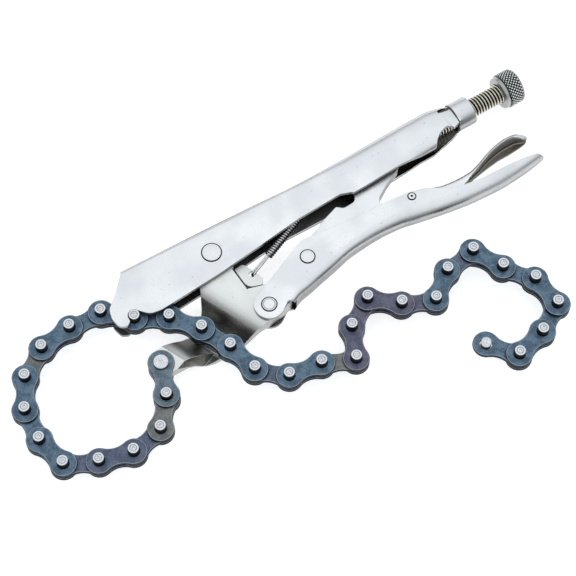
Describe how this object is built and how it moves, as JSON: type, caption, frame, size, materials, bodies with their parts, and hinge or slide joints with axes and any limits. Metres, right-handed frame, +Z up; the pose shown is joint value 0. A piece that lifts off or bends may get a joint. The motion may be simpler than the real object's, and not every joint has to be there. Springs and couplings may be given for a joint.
{
  "type": "locking chain clamp",
  "caption": "Locking pliers with a leaf chain riveted to the lower jaw and hooked on the upper handle's nose, a toggle link, a release lever and an adjusting screw.",
  "frame": {"origin": "centre of the layout's outline on the surface that the clamp lies on", "axes": "+X along the adjusting screw from the jaw to the knob, +Y from the lower handle towards the back of the upper handle, +Z up from the surface"},
  "size_m": [0.2914, 0.1362, 0.018],
  "materials": {
    "nickel_plate": "satin nickel plate",
    "bright_rivet": "bright zinc plate, lightly scratched",
    "blued_steel": "heat blued, with bright worn edges",
    "yellow_zinc": "yellow zinc plate",
    "spring_steel": "dark drawn wire"
  },
  "bodies": {
    "handle": {"upper_handle": "nickel_plate", "main_rivet": "bright_rivet"},
    "jaw": {"lower_jaw": "nickel_plate", "return_spring": "spring_steel"},
    "lever": {"lever": "nickel_plate", "lever_rivet": "bright_rivet", "link_rivet": "bright_rivet", "release_pin": "bright_rivet"},
    "toggle": {"toggle_link": "nickel_plate"},
    "release": {"release_lever": "nickel_plate"},
    "screw": {"adjusting_screw": "yellow_zinc"},
    "knob": {"screw_knob": "nickel_plate"},
    "link_01": {"anchor_plate_near": "blued_steel", "anchor_plate_far": "blued_steel", "anchor_rivet": "bright_rivet"},
    "link_02": {"outer_link_02": "blued_steel"},
    "link_03": {"inner_link_03": "blued_steel"},
    "link_04": {"outer_link_04": "blued_steel"},
    "link_05": {"inner_link_05": "blued_steel"},
    "link_06": {"outer_link_06": "blued_steel"},
    "link_07": {"inner_link_07": "blued_steel"},
    "link_08": {"outer_link_08": "blued_steel"},
    "link_09": {"inner_link_09": "blued_steel"},
    "link_10": {"outer_link_10": "blued_steel"},
    "link_11": {"inner_link_11": "blued_steel"},
    "link_12": {"outer_link_12": "blued_steel"},
    "link_13": {"inner_link_13": "blued_steel"},
    "link_14": {"outer_link_14": "blued_steel"},
    "link_15": {"inner_link_15": "blued_steel"},
    "link_16": {"outer_link_16": "blued_steel"},
    "link_17": {"inner_link_17": "blued_steel"},
    "link_18": {"outer_link_18": "blued_steel"},
    "link_19": {"inner_link_19": "blued_steel"},
    "link_20": {"outer_link_20": "blued_steel"},
    "link_21": {"inner_link_21": "blued_steel"},
    "link_22": {"outer_link_22": "blued_steel"},
    "link_23": {"inner_link_23": "blued_steel"},
    "link_24": {"outer_link_24": "blued_steel"},
    "link_25": {"inner_link_25": "blued_steel"},
    "link_26": {"outer_link_26": "blued_steel"},
    "link_27": {"inner_link_27": "blued_steel"},
    "link_28": {"outer_link_28": "blued_steel"},
    "link_29": {"inner_link_29": "blued_steel"},
    "link_30": {"outer_link_30": "blued_steel"},
    "link_31": {"inner_link_31": "blued_steel", "chain_end_rivet": "bright_rivet"}
  },
  "joints": [
    {"name": "lever_hinge", "type": "hinge", "parent": "jaw", "child": "lever", "pos_m": [-0.01871, 0.01737, 0.0092], "axis": [0, 0, 1], "range_deg": [-30, 0]},
    {"name": "jaw_hinge", "type": "hinge", "parent": "handle", "child": "jaw", "pos_m": [-0.02781, 0.05387, 0.0092], "axis": [0, 0, 1], "range_deg": [0, 4.5], "deforming": ["return_spring"]},
    {"name": "toggle_hinge", "type": "hinge", "parent": "lever", "child": "toggle", "pos_m": [0.00899, 0.02887, 0.0092], "axis": [0, 0, 1], "range_deg": [0, 37.8]},
    {"name": "release_hinge", "type": "hinge", "parent": "lever", "child": "release", "pos_m": [0.06719, 0.03007, 0.0092], "axis": [0, 0, 1], "range_deg": [-6, 0]},
    {"name": "screw_slide", "type": "slide", "parent": "handle", "child": "screw", "axis": [1, 0, 0], "range_m": [0, 0.012]},
    {"name": "knob_turn", "type": "hinge", "parent": "screw", "child": "knob", "pos_m": [0.13569, 0.05767, 0.0092], "axis": [1, 0, 0], "range_deg": [0, 2721.26]},
    {"name": "link_01_hinge", "type": "hinge", "parent": "jaw", "child": "link_01", "pos_m": [-0.07501, 0.01897, 0.0092], "axis": [0, 0, 1], "range_deg": [-8.37, 8.37]},
    {"name": "link_02_hinge", "type": "hinge", "parent": "link_01", "child": "link_02", "pos_m": [-0.0807, 0.00415, 0.0092], "axis": [0, 0, 1], "range_deg": [-6.42, 9.88]},
    {"name": "link_03_hinge", "type": "hinge", "parent": "link_02", "child": "link_03", "pos_m": [-0.0908, -0.0081, 0.0092], "axis": [0, 0, 1], "range_deg": [-8.87, 7.1]},
    {"name": "link_04_hinge", "type": "hinge", "parent": "link_03", "child": "link_04", "pos_m": [-0.10635, -0.01127, 0.0092], "axis": [0, 0, 1], "range_deg": [-9.11, 11.39]},
    {"name": "link_05_hinge", "type": "hinge", "parent": "link_04", "child": "link_05", "pos_m": [-0.12169, -0.00716, 0.0092], "axis": [0, 0, 1], "range_deg": [-6, 6]},
    {"name": "link_06_hinge", "type": "hinge", "parent": "link_05", "child": "link_06", "pos_m": [-0.13583, 0.00005, 0.0092], "axis": [0, 0, 1], "range_deg": [-20, 13]},
    {"name": "link_07_hinge", "type": "hinge", "parent": "link_06", "child": "link_07", "pos_m": [-0.1394, 0.01552, 0.0092], "axis": [0, 0, 1], "range_deg": [-5, 4]},
    {"name": "link_08_hinge", "type": "hinge", "parent": "link_07", "child": "link_08", "pos_m": [-0.13816, 0.03134, 0.0092], "axis": [0, 0, 1], "range_deg": [-15.85, 24.38]},
    {"name": "link_09_hinge", "type": "hinge", "parent": "link_08", "child": "link_09", "pos_m": [-0.13058, 0.0453, 0.0092], "axis": [0, 0, 1], "range_deg": [-6.82, 6.82]},
    {"name": "link_10_hinge", "type": "hinge", "parent": "link_09", "child": "link_10", "pos_m": [-0.11735, 0.05406, 0.0092], "axis": [0, 0, 1], "range_deg": [-1.98, 2.48]},
    {"name": "link_11_hinge", "type": "hinge", "parent": "link_10", "child": "link_11", "pos_m": [-0.10164, 0.0564, 0.0092], "axis": [0, 0, 1], "range_deg": [-14.26, 9.27]},
    {"name": "link_12_hinge", "type": "hinge", "parent": "link_11", "child": "link_12", "pos_m": [-0.08579, 0.05557, 0.0092], "axis": [0, 0, 1], "range_deg": [-9.19, 9.19]},
    {"name": "link_13_hinge", "type": "hinge", "parent": "link_12", "child": "link_13", "pos_m": [-0.07409, 0.04485, 0.0092], "axis": [0, 0, 1], "range_deg": [-0.2, 0.2]},
    {"name": "link_14_hinge", "type": "hinge", "parent": "link_13", "child": "link_14", "pos_m": [-0.06034, 0.03691, 0.0092], "axis": [0, 0, 1], "range_deg": [-0.5, 0.5]},
    {"name": "link_15_hinge", "type": "hinge", "parent": "link_14", "child": "link_15", "pos_m": [-0.05046, 0.02449, 0.0092], "axis": [0, 0, 1], "range_deg": [-7, 0.5]},
    {"name": "link_16_hinge", "type": "hinge", "parent": "link_15", "child": "link_16", "pos_m": [-0.04387, 0.01004, 0.0092], "axis": [0, 0, 1], "range_deg": [-20, 1]},
    {"name": "link_17_hinge", "type": "hinge", "parent": "link_16", "child": "link_17", "pos_m": [-0.04017, -0.00539, 0.0092], "axis": [0, 0, 1], "range_deg": [-22, 1.5]},
    {"name": "link_18_hinge", "type": "hinge", "parent": "link_17", "child": "link_18", "pos_m": [-0.02856, -0.01622, 0.0092], "axis": [0, 0, 1], "range_deg": [-30, 0]},
    {"name": "link_19_hinge", "type": "hinge", "parent": "link_18", "child": "link_19", "pos_m": [-0.01286, -0.01857, 0.0092], "axis": [0, 0, 1], "range_deg": [-18, 1.5]},
    {"name": "link_20_hinge", "type": "hinge", "parent": "link_19", "child": "link_20", "pos_m": [0.0017, -0.0249, 0.0092], "axis": [0, 0, 1], "range_deg": [-28, 2]},
    {"name": "link_21_hinge", "type": "hinge", "parent": "link_20", "child": "link_21", "pos_m": [0.00841, -0.01051, 0.0092], "axis": [0, 0, 1], "range_deg": [-26, 2]},
    {"name": "link_22_hinge", "type": "hinge", "parent": "link_21", "child": "link_22", "pos_m": [0.02202, -0.00233, 0.0092], "axis": [0, 0, 1], "range_deg": [-22, 2]},
    {"name": "link_23_hinge", "type": "hinge", "parent": "link_22", "child": "link_23", "pos_m": [0.03409, -0.01264, 0.0092], "axis": [0, 0, 1], "range_deg": [-29, 2]},
    {"name": "link_24_hinge", "type": "hinge", "parent": "link_23", "child": "link_24", "pos_m": [0.04859, -0.0191, 0.0092], "axis": [0, 0, 1], "range_deg": [-26, 0]},
    {"name": "link_25_hinge", "type": "hinge", "parent": "link_24", "child": "link_25", "pos_m": [0.06127, -0.00955, 0.0092], "axis": [0, 0, 1], "range_deg": [-18, 0]},
    {"name": "link_26_hinge", "type": "hinge", "parent": "link_25", "child": "link_26", "pos_m": [0.07697, -0.0072, 0.0092], "axis": [0, 0, 1], "range_deg": [-14, 24]},
    {"name": "link_27_hinge", "type": "hinge", "parent": "link_26", "child": "link_27", "pos_m": [0.08418, -0.02134, 0.0092], "axis": [0, 0, 1], "range_deg": [-8, 28]},
    {"name": "link_28_hinge", "type": "hinge", "parent": "link_27", "child": "link_28", "pos_m": [0.09351, -0.03419, 0.0092], "axis": [0, 0, 1], "range_deg": [-8, 26]},
    {"name": "link_29_hinge", "type": "hinge", "parent": "link_28", "child": "link_29", "pos_m": [0.09503, -0.04999, 0.0092], "axis": [0, 0, 1], "range_deg": [-16, 45]},
    {"name": "link_30_hinge", "type": "hinge", "parent": "link_29", "child": "link_30", "pos_m": [0.08128, -0.05793, 0.0092], "axis": [0, 0, 1], "range_deg": [-27, 45]},
    {"name": "link_31_hinge", "type": "hinge", "parent": "link_30", "child": "link_31", "pos_m": [0.06588, -0.06177, 0.0092], "axis": [0, 0, 1], "range_deg": [-45, 45]}
  ],
  "couplings": [
    {"joint": "jaw_hinge", "follows": "lever_hinge", "ratio": -0.15},
    {"joint": "toggle_hinge", "follows": "lever_hinge", "ratio": -1.26},
    {"joint": "link_18_hinge", "follows": "lever_hinge", "ratio": 1},
    {"joint": "knob_turn", "follows": "screw_slide", "rad_per_m": 3957.9},
    {"joint": "link_01_hinge", "follows": "link_05_hinge", "ratio": -1.395},
    {"joint": "link_02_hinge", "follows": "link_06_hinge", "ratio": -0.494},
    {"joint": "link_03_hinge", "follows": "link_07_hinge", "ratio": 1.774},
    {"joint": "link_04_hinge", "follows": "link_07_hinge", "ratio": -2.278},
    {"joint": "link_08_hinge", "follows": "link_06_hinge", "ratio": -1.219},
    {"joint": "link_09_hinge", "follows": "link_05_hinge", "ratio": -1.137},
    {"joint": "link_10_hinge", "follows": "link_07_hinge", "ratio": -0.496},
    {"joint": "link_11_hinge", "follows": "link_06_hinge", "ratio": 0.713},
    {"joint": "link_12_hinge", "follows": "link_05_hinge", "ratio": 1.532}
  ]
}
